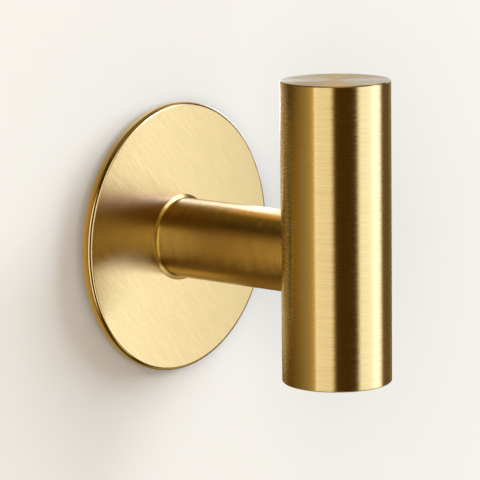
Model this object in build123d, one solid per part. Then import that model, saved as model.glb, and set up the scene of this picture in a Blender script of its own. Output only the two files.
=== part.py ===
from build123d import *
from math import sqrt
import os

# Self-adhesive wall hook: a round back plate, a stem square to the wall and an upright peg
# across the stem's end. All pieces are turned, so most are a half section spun about an axis.
# Frame: origin in the middle of the pad's wall face, +Z up, the hook stands out along -Y.
# Sizes are in millimetres.

# Back plate
plate_diameter = 51.0
plate_thickness = 2.0
plate_front_round = 0.7
plate_back_break = 0.2

# Adhesive foam pad behind the plate
pad_thickness = 1.0
pad_inset = 2.0  # pad edge inside the plate's rim

# Stem
reach = 37.0  # plate's front face to the peg's axis
stem_diameter = 15.0
stem_end_break = 0.3
collar_width = 0.65  # bevelled foot collar, out from the stem
collar_wall = 0.15  # straight part of the collar, next to the plate
collar_rise = 0.25  # height of the collar's bevel

# Peg, set off upwards so that what hangs on the stem can't slip off
peg_margin = 2.5  # peg wider than the stem, each side
peg_above = 32.25  # stem axis to the peg's top
peg_below = 22.75  # stem axis to the peg's bottom
peg_edge_break = 0.2

# Flat-bottomed seat in the peg's back, just deep enough to take the stem's whole end
seat_clearance = 0.05  # round the stem
seat_land = 0.15  # depth of the seat at its shallowest sides

# Countersunk screw, plate to stem
screw_diameter = 4.0
screw_grip = 8.0  # thread length in the stem
screw_hole_clearance = 0.15  # round the thread, in the plate
head_sink = 0.1  # head below the plate's back face
head_land = 0.2  # straight edge of the head
head_floor = 0.2  # plate left in front of the head
screw_socket_flats = 2.5
screw_socket_depth = 1.2

# Headless stud, stem to peg
stud_diameter = 6.0
stud_grip = 8.0  # thread length in each of the two pieces
stud_socket_flats = 3.0
stud_socket_depth = 3.0

# Tapped holes and thread ends
thread_clearance = 0.05  # round a thread in its tapped hole
tip_clearance = 1.0  # full hole past the end of a thread
drill_slope = 0.6  # depth of a drill's point for each unit of its radius
thread_end_break = 0.5

# Radii
plate_radius = plate_diameter / 2
stem_radius = stem_diameter / 2
peg_radius = stem_radius + peg_margin
seat_radius = stem_radius + seat_clearance
screw_radius = screw_diameter / 2
stud_radius = stud_diameter / 2

# Distances out from the wall
plate_back = pad_thickness
plate_front = plate_back + plate_thickness
peg_axis = plate_front + reach
seat_floor = peg_axis - sqrt(peg_radius**2 - seat_radius**2) + seat_land

# The head is a 45 degree cone, as deep as the plate allows
head_back = plate_back + head_sink
cone_start = head_back + head_land
cone_end = plate_front - head_floor
head_radius = screw_radius + cone_end - cone_start
screw_tip = plate_front + screw_grip

# Half-section plane: x is the radius, y the distance out from the wall
half_section = Plane(origin=(0, 0, 0), x_dir=(1, 0, 0), z_dir=(0, 0, -1))


def spin(outline):
    return revolve(half_section * make_face(outline), Axis.Y)


def turned(*points):
    return spin(Polyline(*points, close=True))


def tapped_hole(mouth, thread_radius, grip, way):
    # Blind hole with a drill point, from y = mouth out from the wall (way 1) or back to it (way -1)
    radius = thread_radius + thread_clearance
    bottom = mouth + way * (grip + tip_clearance)
    point = bottom + way * drill_slope * radius
    return turned((0, mouth), (radius, mouth), (radius, bottom), (0, point))


def hex_socket(mouth, flats, depth):
    # Socket for a key, open towards the wall
    outline = RegularPolygon(flats / 2, 6, major_radius=False)
    return extrude(Plane(origin=(0, -mouth, 0), z_dir=(0, -1, 0)) * outline, depth)


def make_adhesive_pad():
    radius = plate_radius - pad_inset
    return turned((0, 0), (radius, 0), (radius, plate_back), (0, plate_back))


def make_back_plate():
    hole_radius = screw_radius + screw_hole_clearance
    sink_radius = head_radius + cone_start - plate_back
    sink_end = plate_back + sink_radius - hole_radius
    round_start = (plate_radius, plate_front - plate_front_round)
    round_end = (plate_radius - plate_front_round, plate_front)
    back = Polyline(
        (hole_radius, sink_end),
        (sink_radius, plate_back),
        (plate_radius - plate_back_break, plate_back),
        (plate_radius, plate_back + plate_back_break),
        round_start,
    )
    front_round = RadiusArc(round_start, round_end, -plate_front_round)
    front = Polyline(round_end, (hole_radius, plate_front), (hole_radius, sink_end))
    return spin(back + front_round + front)


def make_stem():
    collar_radius = stem_radius + collar_width
    bevel_start = plate_front + collar_wall
    blank = turned(
        (0, plate_front),
        (collar_radius, plate_front),
        (collar_radius, bevel_start),
        (stem_radius, bevel_start + collar_rise),
        (stem_radius, seat_floor - stem_end_break),
        (stem_radius - stem_end_break, seat_floor),
        (0, seat_floor),
    )
    screw_hole = tapped_hole(plate_front, screw_radius, screw_grip, 1)
    stud_hole = tapped_hole(seat_floor, stud_radius, stud_grip, -1)
    return blank - screw_hole - stud_hole


def make_peg():
    middle = (peg_above - peg_below) / 2
    blank = Pos(0, -peg_axis, middle) * Cylinder(peg_radius, peg_above + peg_below)
    blank = chamfer(blank.edges().filter_by(GeomType.CIRCLE), peg_edge_break)
    seat = turned((0, plate_front), (seat_radius, plate_front), (seat_radius, seat_floor), (0, seat_floor))
    return blank - seat - tapped_hole(seat_floor, stud_radius, stud_grip, 1)


def make_plate_screw():
    body = turned(
        (0, head_back),
        (head_radius, head_back),
        (head_radius, cone_start),
        (screw_radius, cone_end),
        (screw_radius, screw_tip - thread_end_break),
        (screw_radius - thread_end_break, screw_tip),
        (0, screw_tip),
    )
    return body - hex_socket(head_back, screw_socket_flats, screw_socket_depth)


def make_peg_stud():
    start = seat_floor - stud_grip
    end = seat_floor + stud_grip
    body = turned(
        (0, start),
        (stud_radius - thread_end_break, start),
        (stud_radius, start + thread_end_break),
        (stud_radius, end - thread_end_break),
        (stud_radius - thread_end_break, end),
        (0, end),
    )
    return body - hex_socket(start, stud_socket_flats, stud_socket_depth)


nodes = {
    "adhesive_pad": make_adhesive_pad(),
    "back_plate": make_back_plate(),
    "stem": make_stem(),
    "peg": make_peg(),
    "plate_screw": make_plate_screw(),
    "peg_stud": make_peg_stud(),
}

os.makedirs("parts", exist_ok=True)
for name, solid in nodes.items():
    export_step(solid, f"parts/{name}.step")
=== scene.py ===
from math import ceil, cos, hypot, pi, radians, sin, sqrt

import bmesh
import bpy
from mathutils import Matrix, Quaternion, Vector, noise as fractal


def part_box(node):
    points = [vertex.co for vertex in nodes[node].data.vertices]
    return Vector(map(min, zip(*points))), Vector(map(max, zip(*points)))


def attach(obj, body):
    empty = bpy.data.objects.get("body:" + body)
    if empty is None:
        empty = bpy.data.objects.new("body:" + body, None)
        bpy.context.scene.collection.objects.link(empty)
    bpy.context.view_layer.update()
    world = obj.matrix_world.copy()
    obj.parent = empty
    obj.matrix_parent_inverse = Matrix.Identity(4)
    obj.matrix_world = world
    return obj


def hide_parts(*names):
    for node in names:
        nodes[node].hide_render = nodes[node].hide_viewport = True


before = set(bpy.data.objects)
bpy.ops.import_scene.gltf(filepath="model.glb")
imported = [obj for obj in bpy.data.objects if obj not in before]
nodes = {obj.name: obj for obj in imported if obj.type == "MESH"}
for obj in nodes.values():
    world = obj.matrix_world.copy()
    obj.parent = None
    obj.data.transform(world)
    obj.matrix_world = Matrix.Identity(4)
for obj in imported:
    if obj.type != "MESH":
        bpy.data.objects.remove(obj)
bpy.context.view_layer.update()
print("wall hook:", len(nodes), "pieces loaded")


# places read from the pieces themselves
plateLow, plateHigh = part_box("back_plate")
pegLow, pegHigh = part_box("peg")
padLow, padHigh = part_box("adhesive_pad")
plateRadius = plateHigh.x
padRadius = padHigh.x
pegCentre = (pegLow + pegHigh) / 2
pegAxis = (0, 0, 1)
stemCentre = (0, 0, 0)
stemAxis = (0, 1, 0)  # the plate, the pad and the fasteners share it


# small helpers for shader nodes: each takes numbers or sockets and gives a socket back
def feed(tree, socket, value):
    if isinstance(value, bpy.types.NodeSocket):
        tree.links.new(value, socket)
    else:
        socket.default_value = value


def paint(tree, socket, colour):
    feed(tree, socket, colour if isinstance(colour, bpy.types.NodeSocket) else (*colour, 1))


def number(tree, operation, first, second=0.0):
    node = tree.nodes.new("ShaderNodeMath")
    node.operation = operation
    feed(tree, node.inputs[0], first)
    feed(tree, node.inputs[1], second)
    return node.outputs[0]


def vector(tree, operation, first, second=(0, 0, 0), output="Vector"):
    node = tree.nodes.new("ShaderNodeVectorMath")
    node.operation = operation
    feed(tree, node.inputs[0], first)
    feed(tree, node.inputs[1], second)
    return node.outputs[output]


def scaled(tree, first, factor):
    node = tree.nodes.new("ShaderNodeVectorMath")
    node.operation = "SCALE"
    feed(tree, node.inputs[0], first)
    feed(tree, node.inputs["Scale"], factor)
    return node.outputs["Vector"]


def between(tree, factor, first, second):
    node = tree.nodes.new("ShaderNodeMix")
    node.data_type = "VECTOR"
    feed(tree, node.inputs["Factor"], factor)
    feed(tree, node.inputs[4], first)
    feed(tree, node.inputs[5], second)
    return node.outputs[1]


def tint(tree, factor, first, second):
    node = tree.nodes.new("ShaderNodeMix")
    node.data_type = "RGBA"
    feed(tree, node.inputs["Factor"], factor)
    paint(tree, node.inputs[6], first)
    paint(tree, node.inputs[7], second)
    return node.outputs[2]


def ramp(tree, value, low, high, toLow=0.0, toHigh=1.0):
    node = tree.nodes.new("ShaderNodeMapRange")
    feed(tree, node.inputs["Value"], value)
    feed(tree, node.inputs["From Min"], low)
    feed(tree, node.inputs["From Max"], high)
    feed(tree, node.inputs["To Min"], toLow)
    feed(tree, node.inputs["To Max"], toHigh)
    return node.outputs["Result"]


def window(tree, value, limits, edge):
    rise = ramp(tree, value, limits[0] - edge, limits[0] + edge)
    fall = ramp(tree, value, limits[1] - edge, limits[1] + edge, 1.0, 0.0)
    return number(tree, "MULTIPLY", rise, fall)


def noise(tree, point, scale, detail, roughness):
    node = tree.nodes.new("ShaderNodeTexNoise")
    feed(tree, node.inputs["Vector"], point)
    feed(tree, node.inputs["Scale"], scale)
    feed(tree, node.inputs["Detail"], detail)
    feed(tree, node.inputs["Roughness"], roughness)
    return node.outputs["Fac"]


def swing(tree, field, size):
    return number(tree, "MULTIPLY", number(tree, "SUBTRACT", field, 0.5), 2 * size)


def blankMaterial(name):
    material = bpy.data.materials.new(name)
    material.use_nodes = True
    tree = material.node_tree
    tree.nodes.clear()
    output = tree.nodes.new("ShaderNodeOutputMaterial")
    return material, tree, output.inputs["Surface"]


def startMaterial(name):
    material, tree, surface = blankMaterial(name)
    shader = tree.nodes.new("ShaderNodeBsdfPrincipled")
    tree.links.new(shader.outputs["BSDF"], surface)
    return material, tree, shader


def objectPoint(tree):
    return tree.nodes.new("ShaderNodeTexCoord").outputs["Object"]


def surfaceNormal(tree):
    return tree.nodes.new("ShaderNodeNewGeometry").outputs["Normal"]


# brass: brushed straight on the plate's face and round on all that is turned
brass = {
    "crest": (0.895, 0.738, 0.367),  # tops of the brush lines
    "groove": (0.836, 0.668, 0.297),
    "stemCrest": (0.96, 0.74, 0.27),  # the stem is a deeper gold
    "stemGroove": (0.90, 0.665, 0.21),
    "anisotropy": 0.96,
    "edge": (0.2, 0.93),  # how far an edge's normal leans to the axis, from side to end
    "edgeBlur": 0.02,
    "fine": (1.0, 5.0, 0.62),  # noise of the lines: scale, detail and roughness
    "broad": (0.4, 4.0, 0.6),  # noise of their waver
    "broadOffset": (31.7, 12.3, 47.1),  # keeps the two noises apart
    "contrast": (0.3, 0.7),  # stretch of the noise that runs from low to high
}
straightBrush = {
    "angle": 47,  # falling to the right, degrees
    "length": 0.0025,  # metres along a line before it fades
    "width": 0.0001,  # widest lines, finer ones come from the noise's detail
    "tilt": 0.011,  # how far a line's sides lean, as a slope
    "waver": 0.012,  # how far a line wanders sideways, as a slope
    "roughness": (0.17, 0.23),
    "buffed": 0.45,  # roughness left on broken edges, as a share
}
pegBrush = {
    "length": 0.006,
    "width": 0.00015,
    "tilt": 0.015,
    "waver": 0.015,
    "roughness": (0.24, 0.31),
    "buffed": 0.45,
}
stemBrush = {
    "length": 0.002,
    "width": 0.00026,
    "tilt": 0.03,
    "waver": 0.035,
    "roughness": (0.17, 0.27),
    "buffed": 0.9,
}


def turnedLines(tree, centre, axis, brush):
    offset = vector(tree, "SUBTRACT", objectPoint(tree), centre)
    along = vector(tree, "DOT_PRODUCT", offset, axis, "Value")
    radial = vector(tree, "SUBTRACT", offset, scaled(tree, axis, along))
    radius = vector(tree, "LENGTH", radial, output="Value")
    direction = vector(tree, "NORMALIZE", vector(tree, "CROSS_PRODUCT", axis, radial))
    step = number(tree, "DIVIDE", number(tree, "ADD", along, radius), brush["width"])
    point = vector(tree, "ADD", scaled(tree, radial, 1 / brush["length"]), scaled(tree, axis, step))
    return direction, point


def straightLines(tree):
    turn = radians(straightBrush["angle"])
    direction = (cos(turn), 0, -sin(turn))
    side = (sin(turn), 0, cos(turn))
    along = vector(tree, "DOT_PRODUCT", objectPoint(tree), direction, "Value")
    across = vector(tree, "DOT_PRODUCT", objectPoint(tree), side, "Value")
    point = tree.nodes.new("ShaderNodeCombineXYZ")
    feed(tree, point.inputs["X"], number(tree, "DIVIDE", along, straightBrush["length"]))
    feed(tree, point.inputs["Y"], number(tree, "DIVIDE", across, straightBrush["width"]))
    return direction, point.outputs["Vector"]


def leaning(tree, axis):
    return number(tree, "ABSOLUTE", vector(tree, "DOT_PRODUCT", surfaceNormal(tree), axis, "Value"))


def plateLines(tree):
    face = straightLines(tree)
    rim = turnedLines(tree, stemCentre, stemAxis, pegBrush)
    onFace = number(tree, "GREATER_THAN", leaning(tree, stemAxis), brass["edge"][1])
    return between(tree, onFace, rim[0], face[0]), between(tree, onFace, rim[1], face[1])


def stemLines(tree):
    return turnedLines(tree, stemCentre, stemAxis, stemBrush)


def pegLines(tree):
    return turnedLines(tree, pegCentre, pegAxis, pegBrush)


def brushedBrass(name, lines, axis, brush, tones=("groove", "crest")):
    material, tree, shader = startMaterial(name)
    direction, point = lines(tree)
    normal = surfaceNormal(tree)
    across = vector(tree, "NORMALIZE", vector(tree, "CROSS_PRODUCT", normal, direction))
    fine = noise(tree, point, *brass["fine"])
    broad = noise(tree, vector(tree, "ADD", point, brass["broadOffset"]), *brass["broad"])
    bent = vector(tree, "ADD", normal, scaled(tree, across, swing(tree, fine, brush["tilt"])))
    bent = vector(tree, "ADD", bent, scaled(tree, direction, swing(tree, broad, brush["waver"])))
    feed(tree, shader.inputs["Normal"], vector(tree, "NORMALIZE", bent))
    feed(tree, shader.inputs["Tangent"], across)
    low, high = (brass[tone] for tone in tones)
    feed(tree, shader.inputs["Base Color"], tint(tree, ramp(tree, fine, *brass["contrast"]), low, high))
    rough = ramp(tree, broad, *brass["contrast"], *brush["roughness"])
    onEdge = window(tree, leaning(tree, axis), brass["edge"], brass["edgeBlur"])
    rough = number(tree, "MULTIPLY", rough, ramp(tree, onEdge, 0.0, 1.0, 1.0, brush["buffed"]))
    feed(tree, shader.inputs["Roughness"], rough)
    shader.inputs["Metallic"].default_value = 1.0
    shader.inputs["Anisotropic"].default_value = brass["anisotropy"]
    return material


zinc = {
    "light": (0.66, 0.67, 0.68),
    "deep": (0.50, 0.51, 0.53),
    "patch": (900, 4.0, 0.6),  # patches to the metre, then detail and roughness of the noise
    "contrast": (0.35, 0.65),
    "roughness": (0.30, 0.46),
    "roughContrast": (0.3, 0.7),
}


def zincSteel(name):
    material, tree, shader = startMaterial(name)
    patch = noise(tree, objectPoint(tree), *zinc["patch"])
    tone = ramp(tree, patch, *zinc["contrast"])
    feed(tree, shader.inputs["Base Color"], tint(tree, tone, zinc["deep"], zinc["light"]))
    rough = ramp(tree, patch, *zinc["roughContrast"], *zinc["roughness"])
    feed(tree, shader.inputs["Roughness"], rough)
    shader.inputs["Metallic"].default_value = 1.0
    return material


foam = {
    "light": (0.13, 0.13, 0.135),
    "deep": (0.06, 0.06, 0.062),
    "cell": 5200,  # cells to the metre
    "spread": 0.8,  # from a cell's middle to its lightest part
    "roughness": (0.9, 0.8),
    "filmLight": (0.115, 0.115, 0.12),
    "filmDeep": (0.045, 0.045, 0.048),
    "filmPatch": (260, 5.0, 0.65),  # patches to the metre, then detail and roughness of the noise
    "filmContrast": (0.3, 0.7),
    "filmRoughness": (0.36, 0.52),
    "filmLean": 0.9,  # faces that lean further to the axis are film
    "bumpStrength": 0.3,
    "bumpHeight": 0.0001,
}


def foamRubber(name):
    material, tree, shader = startMaterial(name)
    cells = tree.nodes.new("ShaderNodeTexVoronoi")
    feed(tree, cells.inputs["Vector"], objectPoint(tree))
    feed(tree, cells.inputs["Scale"], foam["cell"])
    spread = ramp(tree, cells.outputs["Distance"], 0.0, foam["spread"])
    patch = ramp(tree, noise(tree, objectPoint(tree), *foam["filmPatch"]), *foam["filmContrast"])
    onFilm = number(tree, "GREATER_THAN", leaning(tree, stemAxis), foam["filmLean"])
    cut = tint(tree, spread, foam["deep"], foam["light"])
    film = tint(tree, patch, foam["filmDeep"], foam["filmLight"])
    feed(tree, shader.inputs["Base Color"], tint(tree, onFilm, cut, film))
    cutRough = ramp(tree, spread, 0.0, 1.0, *foam["roughness"])
    filmRough = ramp(tree, patch, 0.0, 1.0, *foam["filmRoughness"])
    feed(tree, shader.inputs["Roughness"], ramp(tree, onFilm, 0.0, 1.0, cutRough, filmRough))
    bump = tree.nodes.new("ShaderNodeBump")
    bump.inputs["Strength"].default_value = foam["bumpStrength"]
    bump.inputs["Distance"].default_value = foam["bumpHeight"]
    feed(tree, bump.inputs["Height"], ramp(tree, onFilm, 0.0, 1.0, cells.outputs["Distance"], patch))
    feed(tree, shader.inputs["Normal"], bump.outputs["Normal"])
    return material


finishes = {
    "back_plate": brushedBrass("plateBrass", plateLines, stemAxis, straightBrush),
    "stem": brushedBrass("stemBrass", stemLines, stemAxis, stemBrush, ("stemGroove", "stemCrest")),
    "peg": brushedBrass("pegBrass", pegLines, pegAxis, pegBrush),
    "adhesive_pad": foamRubber("padFoam"),
}
finishes["plate_screw"] = zincSteel("fastenerZinc")
finishes["peg_stud"] = finishes["plate_screw"]
for name, finish in finishes.items():
    nodes[name].material_slots[0].material = finish
print("wall hook: finishes on", len(finishes), "pieces")


# turned pieces: an outline of (radius, y) points, spun about the stem's axis
mergeGap = 1e-7  # metres, points closer than this are one
sameGap = 1e-6  # metres, what is closer than this to a ring or a plane lies on it


def linkMesh(name, bm, material):
    mesh = bpy.data.meshes.new(name)
    bm.to_mesh(mesh)
    bm.free()
    mesh.materials.append(material)
    piece = bpy.data.objects.new(name, mesh)
    bpy.context.scene.collection.objects.link(piece)
    return piece


def spun(bm, outline, steps):
    points = [bm.verts.new((radius, y, 0)) for radius, y in outline]
    edges = [bm.edges.new(pair) for pair in zip(points, points[1:])]
    bmesh.ops.spin(bm, geom=points + edges, cent=stemCentre, axis=stemAxis, angle=2 * pi, steps=steps,
                   use_merge=True)
    bmesh.ops.remove_doubles(bm, verts=bm.verts, dist=mergeGap)


def fromAxis(point):
    return hypot(point.co.x, point.co.z)


def ringEdges(bm, radius, y):
    def isOn(point):
        return abs(fromAxis(point) - radius) < sameGap and abs(point.co.y - y) < sameGap
    return [edge for edge in bm.edges if all(isOn(point) for point in edge.verts)]


def bevelRing(bm, radius, y, size, segments):
    bmesh.ops.bevel(bm, geom=ringEdges(bm, radius, y), offset=size, offset_type="OFFSET", affect="EDGES",
                    segments=segments, profile=0.5, material=-1)


def newPoints(made):
    return [item for item in made["geom"] if isinstance(item, bmesh.types.BMVert)]


def finishPiece(name, bm, node, crease=25):
    bmesh.ops.recalc_face_normals(bm, faces=bm.faces)
    piece = linkMesh(name, bm, finishes[node])
    piece.data.shade_smooth()
    piece.data.set_sharp_from_angle(angle=radians(crease))
    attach(piece, "root")
    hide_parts(node)
    return piece


# plate: a finer round on the front edge than the solid's facets give
plate = {
    "round": 0.0007,  # front edge
    "break": 0.0002,  # back edge
    "hole": 0.00215,  # clears the screw's thread
    "sink": 0.0038,  # countersink at the back face
    "steps": 200,
    "segments": 10,  # across the round
    "hold": 0.00005,  # narrow flat beside the round, keeps the shading of the face flat
}


def buildPlate():
    bm = bmesh.new()
    front = plateLow.y
    back = plateHigh.y
    hole = plate["hole"]
    reach = plate["round"] + plate["hold"]
    sinkEnd = back - (plate["sink"] - hole)
    outline = [(hole, sinkEnd), (plate["sink"], back), (plateRadius, back), (plateRadius, front + reach),
               (plateRadius, front), (plateRadius - reach, front), (hole, front), (hole, sinkEnd)]
    spun(bm, outline, plate["steps"])
    bmesh.ops.recalc_face_normals(bm, faces=bm.faces)
    bevelRing(bm, plateRadius, front, plate["round"], plate["segments"])
    bevelRing(bm, plateRadius, back, plate["break"], 1)
    return finishPiece("plateDisc", bm, "back_plate")


# pad: foam between two glue films, its cut edge a little swollen and pitted
pad = {
    "film": 0.00006,
    "filmBreak": 0.00002,
    "setBack": 0.00012,  # foam behind the films' edges
    "rings": 8,  # across the foam's edge
    "pits": 0.00005,  # depth of the cut cells
    "pitScale": 3200,  # to the metre
    "steps": 400,
    "crease": 40,  # degrees, sharper turns are shaded as edges
}


def buildPad():
    bm = bmesh.new()
    back = padHigh.y
    front = padLow.y
    radius = padRadius
    middle = radius / 2
    thin = pad["filmBreak"]
    foamBack = back - pad["film"]
    foamFront = front + pad["film"]
    outline = [(0, back), (middle, back), (radius - thin, back), (radius, back - thin), (radius, foamBack)]
    for ring in range(pad["rings"] + 1):
        share = ring / pad["rings"]
        behind = pad["setBack"] * (1 - sin(pi * share))
        outline.append((radius - behind - thin, foamBack + (foamFront - foamBack) * share))
    outline += [(radius, foamFront), (radius, front + thin), (radius - thin, front)]
    outline += [(middle, front), (0, front)]
    spun(bm, outline, pad["steps"])
    for point in bm.verts:
        inFoam = foamFront + thin < point.co.y < foamBack - thin
        if inFoam and fromAxis(point) > middle:
            pit = pad["pits"] * (0.5 + 0.5 * fractal.noise(point.co * pad["pitScale"]))
            shrink = 1 - pit / radius
            point.co.x *= shrink
            point.co.z *= shrink
    piece = finishPiece("foamPad", bm, "adhesive_pad", pad["crease"])
    return piece


# threaded fasteners: one turn's outline swept into a helix and cut square at both ends
thread = {
    # share of the depth and share of the pitch
    "outline": [(0, 0.0), (0, 0.125), (1, 0.44), (1, 0.56), (0, 0.875), (0, 1.0)],
    "steps": 40,  # to a turn
    "early": 2,  # turns before the start, cut off again
    "spare": 3,  # turns past both ends together
}
plateScrew = {
    "radius": 0.002,
    "pitch": 0.0007,
    "depth": 0.00043,
    "endBreak": 0.0005,
    "headRadius": 0.0035,
    "headBack": -0.0011,
    "headLand": 0.0002,
    "headEnd": -0.0028,
    "headSteps": 60,
    "tip": -0.011,
    "flats": 0.0025,
    "socket": 0.0012,
    "rim": 0.0017,  # ring round the socket's mouth
    "relief": 0.0002,  # plain neck under the head
}
pegStud = {
    "radius": 0.003,
    "pitch": 0.001,
    "depth": 0.00061,
    "endBreak": 0.0005,
    "flats": 0.003,
    "socket": 0.003,
}


def sweptThread(bm, spec, start, end):
    turns = ceil((start - end) / spec["pitch"]) + thread["spare"]
    root = spec["radius"] - spec["depth"]
    top = start + thread["early"] * spec["pitch"]
    points = [bm.verts.new((root + spec["depth"] * out, top - spec["pitch"] * along, 0))
              for out, along in thread["outline"]]
    edges = [bm.edges.new(pair) for pair in zip(points, points[1:])]
    bmesh.ops.spin(bm, geom=points + edges, cent=stemCentre, axis=(0, -1, 0), angle=2 * pi * turns,
                   dvec=(0, -spec["pitch"] / thread["steps"], 0), steps=thread["steps"] * turns)
    bmesh.ops.remove_doubles(bm, verts=bm.verts, dist=mergeGap)
    for y, way in ((start, 1), (end, -1)):
        everything = bm.verts[:] + bm.edges[:] + bm.faces[:]
        bmesh.ops.bisect_plane(bm, geom=everything, dist=mergeGap, plane_co=(0, y, 0),
                               plane_no=(0, way, 0), clear_outer=True)
    bmesh.ops.remove_doubles(bm, verts=bm.verts, dist=sameGap)


def breakEnd(bm, spec, end):
    for point in bm.verts:
        limit = spec["radius"] - spec["endBreak"] + abs(point.co.y - end)
        out = fromAxis(point)
        if out > limit:
            point.co.x *= limit / out
            point.co.z *= limit / out


def openEdges(bm, y):
    def isOn(point):
        return abs(point.co.y - y) < sameGap
    return [edge for edge in bm.edges if edge.is_boundary and all(isOn(point) for point in edge.verts)]


def sinkSocket(bm, spec, mouth):
    rim = openEdges(bm, mouth)
    place = Matrix.Translation((0, mouth, 0)) @ Matrix.Rotation(pi / 2, 4, "X")
    made = bmesh.ops.create_circle(bm, segments=6, radius=spec["flats"] / sqrt(3), matrix=place)
    corners = set(made["verts"])
    mouthEdges = [edge for edge in bm.edges if set(edge.verts) <= corners]
    bmesh.ops.bridge_loops(bm, edges=rim + mouthEdges)
    floor = newPoints(bmesh.ops.extrude_edge_only(bm, edges=mouthEdges))
    bmesh.ops.translate(bm, verts=floor, vec=(0, -spec["socket"], 0))
    bmesh.ops.holes_fill(bm, edges=openEdges(bm, mouth - spec["socket"]), sides=0)


def buildScrew():
    bm = bmesh.new()
    spec = plateScrew
    threadStart = spec["headEnd"] - spec["relief"]
    sweptThread(bm, spec, threadStart, spec["tip"])
    breakEnd(bm, spec, spec["tip"])
    bmesh.ops.holes_fill(bm, edges=openEdges(bm, spec["tip"]), sides=0)
    back = spec["headBack"]
    land = back - spec["headLand"]
    head = [(spec["rim"], back), (spec["headRadius"], back), (spec["headRadius"], land),
            (spec["radius"], spec["headEnd"])]
    spun(bm, head, spec["headSteps"])
    bmesh.ops.bridge_loops(bm, edges=openEdges(bm, threadStart) + openEdges(bm, spec["headEnd"]))
    sinkSocket(bm, spec, back)
    return finishPiece("screwThreaded", bm, "plate_screw")


def buildStud():
    bm = bmesh.new()
    low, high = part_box("peg_stud")
    sweptThread(bm, pegStud, high.y, low.y)
    breakEnd(bm, pegStud, high.y)
    breakEnd(bm, pegStud, low.y)
    bmesh.ops.holes_fill(bm, edges=openEdges(bm, low.y), sides=0)
    sinkSocket(bm, pegStud, high.y)
    return finishPiece("studThreaded", bm, "peg_stud")


modelled = [buildPlate(), buildPad(), buildScrew(), buildStud()]
print("wall hook: modelled", ", ".join(piece.name for piece in modelled))


# wall behind the pad, open where the pad sticks to it and see-through from behind
wall = {
    "colour": (0.93, 0.925, 0.91),
    "roughness": 0.9,
    "specular": 0.1,
    "radius": 3.0,
    "gap": 0.0001,  # behind the pad's face
    "hole": 0.98,  # share of the pad's radius
}
discSteps = 128  # round the wall's and the painted reflection sheet's openings


def openDisc(bm, inner, outer, y):
    bmesh.ops.create_circle(bm, segments=discSteps, radius=inner)
    rim = newPoints(bmesh.ops.extrude_edge_only(bm, edges=bm.edges[:]))
    bmesh.ops.scale(bm, vec=(outer / inner, outer / inner, 1), verts=rim)
    upright = Quaternion((1, 0, 0), pi / 2).to_matrix()
    bmesh.ops.rotate(bm, verts=bm.verts, cent=(0, 0, 0), matrix=upright)
    bmesh.ops.translate(bm, verts=bm.verts, vec=(0, y, 0))
    bm.normal_update()
    bmesh.ops.reverse_faces(bm, faces=[face for face in bm.faces if face.normal.y > 0])


def wallPaint():
    material, tree, surface = blankMaterial("wallPaint")
    coat = tree.nodes.new("ShaderNodeBsdfPrincipled")
    coat.inputs["Base Color"].default_value = (*wall["colour"], 1)
    coat.inputs["Roughness"].default_value = wall["roughness"]
    coat.inputs["Specular IOR Level"].default_value = wall["specular"]
    clear = tree.nodes.new("ShaderNodeBsdfTransparent")
    mix = tree.nodes.new("ShaderNodeMixShader")
    side = tree.nodes.new("ShaderNodeNewGeometry")
    feed(tree, mix.inputs["Fac"], side.outputs["Backfacing"])
    tree.links.new(coat.outputs["BSDF"], mix.inputs[1])
    tree.links.new(clear.outputs["BSDF"], mix.inputs[2])
    tree.links.new(mix.outputs["Shader"], surface)
    return material


def buildWall():
    bm = bmesh.new()
    openDisc(bm, padRadius * wall["hole"], wall["radius"], wall["gap"])
    return linkMesh("wall", bm, wallPaint())


buildWall()


# studio tent that only the metal sees: a dark half dome with soft windows
tent = {
    "radius": 0.8,
    "segments": (64, 32),
    "centre": (0, -0.02, 0),
    "baseGlow": (0.055, 0.026, 0.004),
    "windowColour": (1.0, 1.02, 1.17),
    "stretch": 2,  # how much softer a window's upper and lower edges are
    "cap": {"elevation": (60, 72), "colour": (1.0, 0.6, 0.2), "face": 0.3},  # brown top of the dome
    # dimmer part of the tent where it is seen by way of two pieces
    "twice": {"azimuth": (-15, 50), "elevation": (-28, 12), "edge": 6, "dim": 0.6},
    # bearings in degrees, brightness from the first azimuth to the second, and where a soft edge is warm,
    # the fringe: powers on the edge's fade in green and blue
    "windows": [
        {"azimuth": (-113, -57), "elevation": (-50, 32), "edge": 4, "face": (0.98, 0.98),
         "colour": (1.0, 0.94, 0.89), "fringe": (1.25, 1.9)},
        {"azimuth": (-5, 54), "elevation": (-33, 32), "edge": 4, "face": (1.18, 1.38),
         "fringe": (1.15, 1.5)},
        {"azimuth": (26, 42), "elevation": (-27, 32), "edge": 5, "face": (0.2, 0.4),
         "colour": (1.0, 1.15, 2.2)},
        {"azimuth": (34, 60), "elevation": (19, 34), "edge": 3, "face": (2.1, 1.6),
         "colour": (1.0, 1.1, 1.9)},
        # cools the light that reaches the stem by way of the plate
        {"azimuth": (34, 60), "elevation": (19, 34), "edge": 3, "face": (2.1, 1.6),
         "colour": (0.0, 0.25, 4.0), "onlyTwice": True},
        {"azimuth": (57, 95), "elevation": (-40, 14), "edge": 3, "face": (0.08, 0.06),
         "colour": (1.0, 0.8, 0.6)},
        {"azimuth": (0, 30), "elevation": (-64, -44), "edge": 4, "face": (0.6, 0.6),
         "colour": (1.0, 0.8, 0.5)},
        {"azimuth": (62, 110), "elevation": (38, 60), "edge": 4, "face": (0.5, 0.5),
         "colour": (1.0, 0.88, 0.7)},
        {"azimuth": (62, 110), "elevation": (-62, -34), "edge": 4, "face": (0.4, 0.4),
         "colour": (1.0, 0.8, 0.5)},
    ],
}


def heading(azimuth, elevation):
    turn = radians(azimuth)
    lift = radians(elevation)
    return Vector((sin(turn) * cos(lift), -cos(turn) * cos(lift), sin(lift)))


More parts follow.
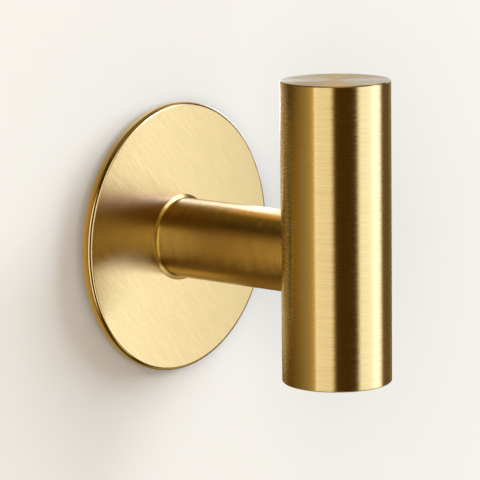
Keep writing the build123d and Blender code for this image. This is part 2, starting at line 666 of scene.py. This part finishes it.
def glow(tree, colour, strength):
    node = tree.nodes.new("ShaderNodeEmission")
    paint(tree, node.inputs["Color"], colour)
    feed(tree, node.inputs["Strength"], strength)
    return node.outputs["Emission"]


def bounced(tree, kind, times):
    path = tree.nodes.new("ShaderNodeLightPath")
    return number(tree, "GREATER_THAN", path.outputs[kind + " Depth"], times - 0.5)


# keeps the light from reaching the wall by way of the metal
def seenInMetal(tree, light, dim=0.0):
    mix = tree.nodes.new("ShaderNodeMixShader")
    feed(tree, mix.inputs["Fac"], number(tree, "MAXIMUM", bounced(tree, "Diffuse", 1), dim))
    tree.links.new(light, mix.inputs[1])
    return mix.outputs["Shader"]


def fringed(tree, pane, colour, fringe):
    channels = tree.nodes.new("ShaderNodeCombineXYZ")
    for channel, level, power in zip("XYZ", colour, (1.0, *fringe)):
        share = number(tree, "POWER", pane, power)
        feed(tree, channels.inputs[channel], number(tree, "MULTIPLY", share, level))
    return channels.outputs["Vector"]


def joined(tree, first, second):
    node = tree.nodes.new("ShaderNodeAddShader")
    tree.links.new(first, node.inputs[0])
    tree.links.new(second, node.inputs[1])
    return node.outputs["Shader"]


def opening(tree, azimuth, elevation, spec, stretch=1):
    across = window(tree, azimuth, spec["azimuth"], spec["edge"])
    upright = window(tree, elevation, spec["elevation"], stretch * spec["edge"])
    return number(tree, "MULTIPLY", across, upright)


def tentCloth():
    material, tree, surface = blankMaterial("tentCloth")
    offset = vector(tree, "NORMALIZE", vector(tree, "SUBTRACT", objectPoint(tree), tent["centre"]))
    parts = tree.nodes.new("ShaderNodeSeparateXYZ")
    feed(tree, parts.inputs[0], offset)
    front = number(tree, "MULTIPLY", parts.outputs["Y"], -1.0)
    azimuth = number(tree, "DEGREES", number(tree, "ARCTAN2", parts.outputs["X"], front))
    elevation = number(tree, "DEGREES", number(tree, "ARCSINE", parts.outputs["Z"]))
    twice = bounced(tree, "Glossy", 2)
    light = glow(tree, tent["baseGlow"], 1.0)
    for spec in tent["windows"]:
        pane = opening(tree, azimuth, elevation, spec, tent["stretch"])
        face = ramp(tree, azimuth, *spec["azimuth"], *spec["face"])
        if spec.get("onlyTwice"):
            face = number(tree, "MULTIPLY", face, twice)
        colour = spec.get("colour", tent["windowColour"])
        fringe = spec.get("fringe", (1.0, 1.0))
        light = joined(tree, light, glow(tree, fringed(tree, pane, colour, fringe), face))
    spec = tent["cap"]
    cap = glow(tree, spec["colour"], ramp(tree, elevation, *spec["elevation"], 0.0, spec["face"]))
    spec = tent["twice"]
    part = opening(tree, azimuth, elevation, spec)
    dim = number(tree, "MULTIPLY", number(tree, "MULTIPLY", twice, part), spec["dim"])
    tree.links.new(seenInMetal(tree, joined(tree, light, cap), dim), surface)
    return material


def onlyForMetal(piece):
    piece.visible_camera = False
    piece.visible_diffuse = False
    piece.visible_shadow = False
    piece.visible_transmission = False
    return piece


def buildTent():
    bm = bmesh.new()
    around, upright = tent["segments"]
    bmesh.ops.create_uvsphere(bm, u_segments=around, v_segments=upright, radius=tent["radius"])
    bmesh.ops.translate(bm, verts=bm.verts, vec=tent["centre"])
    everything = bm.verts[:] + bm.edges[:] + bm.faces[:]
    bmesh.ops.bisect_plane(bm, geom=everything, plane_co=(0, 0, 0), plane_no=(0, 1, 0), clear_outer=True)
    bmesh.ops.reverse_faces(bm, faces=bm.faces)
    return onlyForMetal(linkMesh("tent", bm, tentCloth()))


# painted reflection of the wall and its shade, seen only by the metal: a glowing sheet over the wall round
# the pad, dimmer close to the plate and brighter or darker round the clock
paintedReflectionSheet = {
    "gap": 0.0004,  # in front of the wall
    "opening": 1.01,  # share of the pad's radius
    "baseGlow": {"near": (1.0, 0.50, 0.07), "far": (1.0, 0.68, 0.27), "radius": (0.03, 0.06)},
    # painted light and shade round the clock: left, below, right, above and left again
    "clock": [(0.0, 0.40), (0.03, 0.41), (0.11, 0.24), (0.18, 0.12), (0.24, 0.22), (0.30, 0.32),
              (0.40, 0.25), (0.46, 0.12), (0.60, 0.3), (0.66, 0.7), (0.70, 0.85), (0.75, 0.13),
              (0.85, 0.05), (0.90, 0.22), (0.94, 0.34), (1.0, 0.40)],
    # painted shadow: the glow is dimmer close to the plate than far out
    "near": (0.026, 0.6),  # radius in metres, share of the brightness there
    "far": (0.200, 1.5),
    # painted reflection of the lit wall at the upper right
    "patch": {"turn": (12, 60), "turnEdge": 6, "radius": (0.020, 0.6), "radiusEdge": 0.004,
              "fade": (0.03, 0.055), "face": (2.25, 0.6), "near": (1.0, 1.1, 1.6), "far": (1.0, 1.03, 1.2)},
    "left": {"out": (0.33, 0.9), "edge": 0.06, "face": 0.85},  # painted reflection of the lit wall far out to the left
    # painted reflection of the wall close round the plate's rim: brown glow for its shade all round,
    # painted light from the right to above
    "halo": {"radius": (0.020, 0.0275), "edge": 0.0005, "colour": (1.0, 0.78, 0.36), "face": 0.29,
             "clock": [(0.0, 0.0), (0.35, 0.1), (0.5, 0.4), (0.70, 0.55), (0.78, 0.55), (0.82, 0.42),
                       (0.86, 0.16), (0.90, 0.03), (1.0, 0.0)]},
}


def clockLevel(tree, turn, levels):
    clock = tree.nodes.new("ShaderNodeValToRGB")
    feed(tree, clock.inputs["Fac"], ramp(tree, turn, -180, 180))
    stops = clock.color_ramp.elements
    while len(stops) < len(levels):
        stops.new(1.0)
    for stop, (place, level) in zip(stops, levels):
        stop.position = place
        stop.color = (level, level, level, 1)
    return clock.outputs["Color"]


def paintedReflectionGlow():
    material, tree, surface = blankMaterial("paintedReflectionGlow")
    parts = tree.nodes.new("ShaderNodeSeparateXYZ")
    feed(tree, parts.inputs[0], objectPoint(tree))
    turn = number(tree, "DEGREES", number(tree, "ARCTAN2", parts.outputs["Z"], parts.outputs["X"]))
    radius = vector(tree, "LENGTH", objectPoint(tree), output="Value")

    # painted light: a bright glow for the lit wall at the upper right
    spec = paintedReflectionSheet["patch"]
    inTurn = window(tree, turn, spec["turn"], spec["turnEdge"])
    inRadius = window(tree, radius, spec["radius"], spec["radiusEdge"])
    paintedLitPatch = number(tree, "MULTIPLY", inTurn, inRadius)
    face = ramp(tree, radius, *spec["fade"], *spec["face"])
    paintedLitTint = tint(tree, ramp(tree, radius, *spec["fade"]), spec["near"], spec["far"])
    patch = glow(tree, paintedLitTint, number(tree, "MULTIPLY", paintedLitPatch, face))

    # painted shade: a brown glow, dimmed round the clock and close to the plate, for the wall's shadow
    spec = paintedReflectionSheet["baseGlow"]
    clock = clockLevel(tree, turn, paintedReflectionSheet["clock"])
    share = ramp(tree, radius, paintedReflectionSheet["near"][0], paintedReflectionSheet["far"][0], paintedReflectionSheet["near"][1], paintedReflectionSheet["far"][1])
    outsideLitPatch = number(tree, "SUBTRACT", 1.0, paintedLitPatch)
    level = number(tree, "MULTIPLY", number(tree, "MULTIPLY", clock, share), outsideLitPatch)
    baseGlow = glow(tree, tint(tree, ramp(tree, radius, *spec["radius"]), spec["near"], spec["far"]), level)

    # painted light: a glow for the lit wall far out to the left
    spec = paintedReflectionSheet["left"]
    out = number(tree, "MULTIPLY", parts.outputs["X"], -1.0)
    farLeft = number(tree, "MULTIPLY", window(tree, out, spec["out"], spec["edge"]), spec["face"])

    # painted shade and light at the rim: a brown glow all round, brighter from the right to above
    spec = paintedReflectionSheet["halo"]
    halo = window(tree, radius, spec["radius"], spec["edge"])
    bright = number(tree, "MULTIPLY", halo, clockLevel(tree, turn, spec["clock"]))
    rim = glow(tree, spec["colour"], number(tree, "MULTIPLY", halo, spec["face"]))
    paintedWallLight = glow(tree, tent["windowColour"], number(tree, "ADD", farLeft, bright))

    light = joined(tree, joined(tree, baseGlow, patch), joined(tree, paintedWallLight, rim))
    tree.links.new(seenInMetal(tree, light), surface)
    return material


def buildPaintedReflection():
    bm = bmesh.new()
    openDisc(bm, padRadius * paintedReflectionSheet["opening"], tent["radius"], -paintedReflectionSheet["gap"])
    return onlyForMetal(linkMesh("paintedReflectionSheet", bm, paintedReflectionGlow()))


buildTent()
buildPaintedReflection()
print("wall hook: wall and tent up")


# soft lamps for the wall and its shadow, placed by bearing from the hook
lamps = {
    "key": {"azimuth": 73, "elevation": 32, "distance": 6.0, "width": 2.3, "height": 7.6, "face": 9.6,
            "colour": (0.87, 1.0, 1.12)},
    "front": {"azimuth": 26, "elevation": 26, "distance": 6.0, "width": 2.2, "height": 1.5, "face": 3.4,
              "colour": (1.0, 1.0, 0.94)},
    "left": {"azimuth": -56, "elevation": 12, "distance": 6.0, "width": 2.7, "height": 5.0, "face": 3.8,
             "colour": (1.0, 0.85, 0.69)},
}
lampWatts = 4  # to the square metre, for a face of 1


def hangLamp(name, spec):
    light = bpy.data.lights.new(name, "AREA")
    light.shape = "RECTANGLE"
    light.size = spec["width"]
    light.size_y = spec["height"]
    light.color = spec["colour"]
    light.energy = lampWatts * spec["face"] * spec["width"] * spec["height"]
    lamp = bpy.data.objects.new(name, light)
    toLamp = heading(spec["azimuth"], spec["elevation"])
    lamp.location = pegCentre + toLamp * spec["distance"]
    lamp.rotation_mode = "QUATERNION"
    lamp.rotation_quaternion = (-toLamp).to_track_quat("-Z", "Y")
    lamp.visible_camera = False
    lamp.visible_glossy = False
    bpy.context.scene.collection.objects.link(lamp)


for name, spec in lamps.items():
    hangLamp(name, spec)


# room: pale to the eye and in the metal, dimmer as light
room = {"pale": (0.905, 0.885, 0.835), "light": (1.0, 0.87, 0.71), "strength": 0.315}


def buildRoom():
    world = bpy.data.worlds.new("room")
    bpy.context.scene.world = world
    world.use_nodes = True
    tree = world.node_tree
    tree.nodes.clear()
    path = tree.nodes.new("ShaderNodeLightPath")
    seen = number(tree, "MAXIMUM", path.outputs["Is Camera Ray"], path.outputs["Is Glossy Ray"])
    seen = number(tree, "MAXIMUM", seen, path.outputs["Is Transmission Ray"])
    dim = tree.nodes.new("ShaderNodeBackground")
    dim.inputs["Color"].default_value = (*room["light"], 1)
    dim.inputs["Strength"].default_value = room["strength"]
    pale = tree.nodes.new("ShaderNodeBackground")
    pale.inputs["Color"].default_value = (*room["pale"], 1)
    mix = tree.nodes.new("ShaderNodeMixShader")
    output = tree.nodes.new("ShaderNodeOutputWorld")
    feed(tree, mix.inputs["Fac"], seen)
    tree.links.new(dim.outputs["Background"], mix.inputs[1])
    tree.links.new(pale.outputs["Background"], mix.inputs[2])
    tree.links.new(mix.outputs["Shader"], output.inputs["Surface"])


buildRoom()

camera = {
    "place": (-0.39343, -0.34505, 0.09166),
    "aim": (0.00001, -0.01739, 0.00086),
    "roll": -0.723,  # degrees
    "lens": 210,  # millimetres, as is the sensor
    "sensor": 36,
}


def buildCamera():
    data = bpy.data.cameras.new("viewCamera")
    data.lens = camera["lens"]
    data.sensor_width = camera["sensor"]
    view = bpy.data.objects.new("viewCamera", data)
    view.location = camera["place"]
    sight = (Vector(camera["aim"]) - view.location).to_track_quat("-Z", "Y")
    view.rotation_mode = "QUATERNION"
    view.rotation_quaternion = sight @ Quaternion((0, 0, 1), radians(camera["roll"]))
    bpy.context.scene.collection.objects.link(view)
    bpy.context.scene.camera = view


buildCamera()
bpy.context.scene.view_settings.view_transform = "Standard"
print("wall hook: lamps, room and camera set")
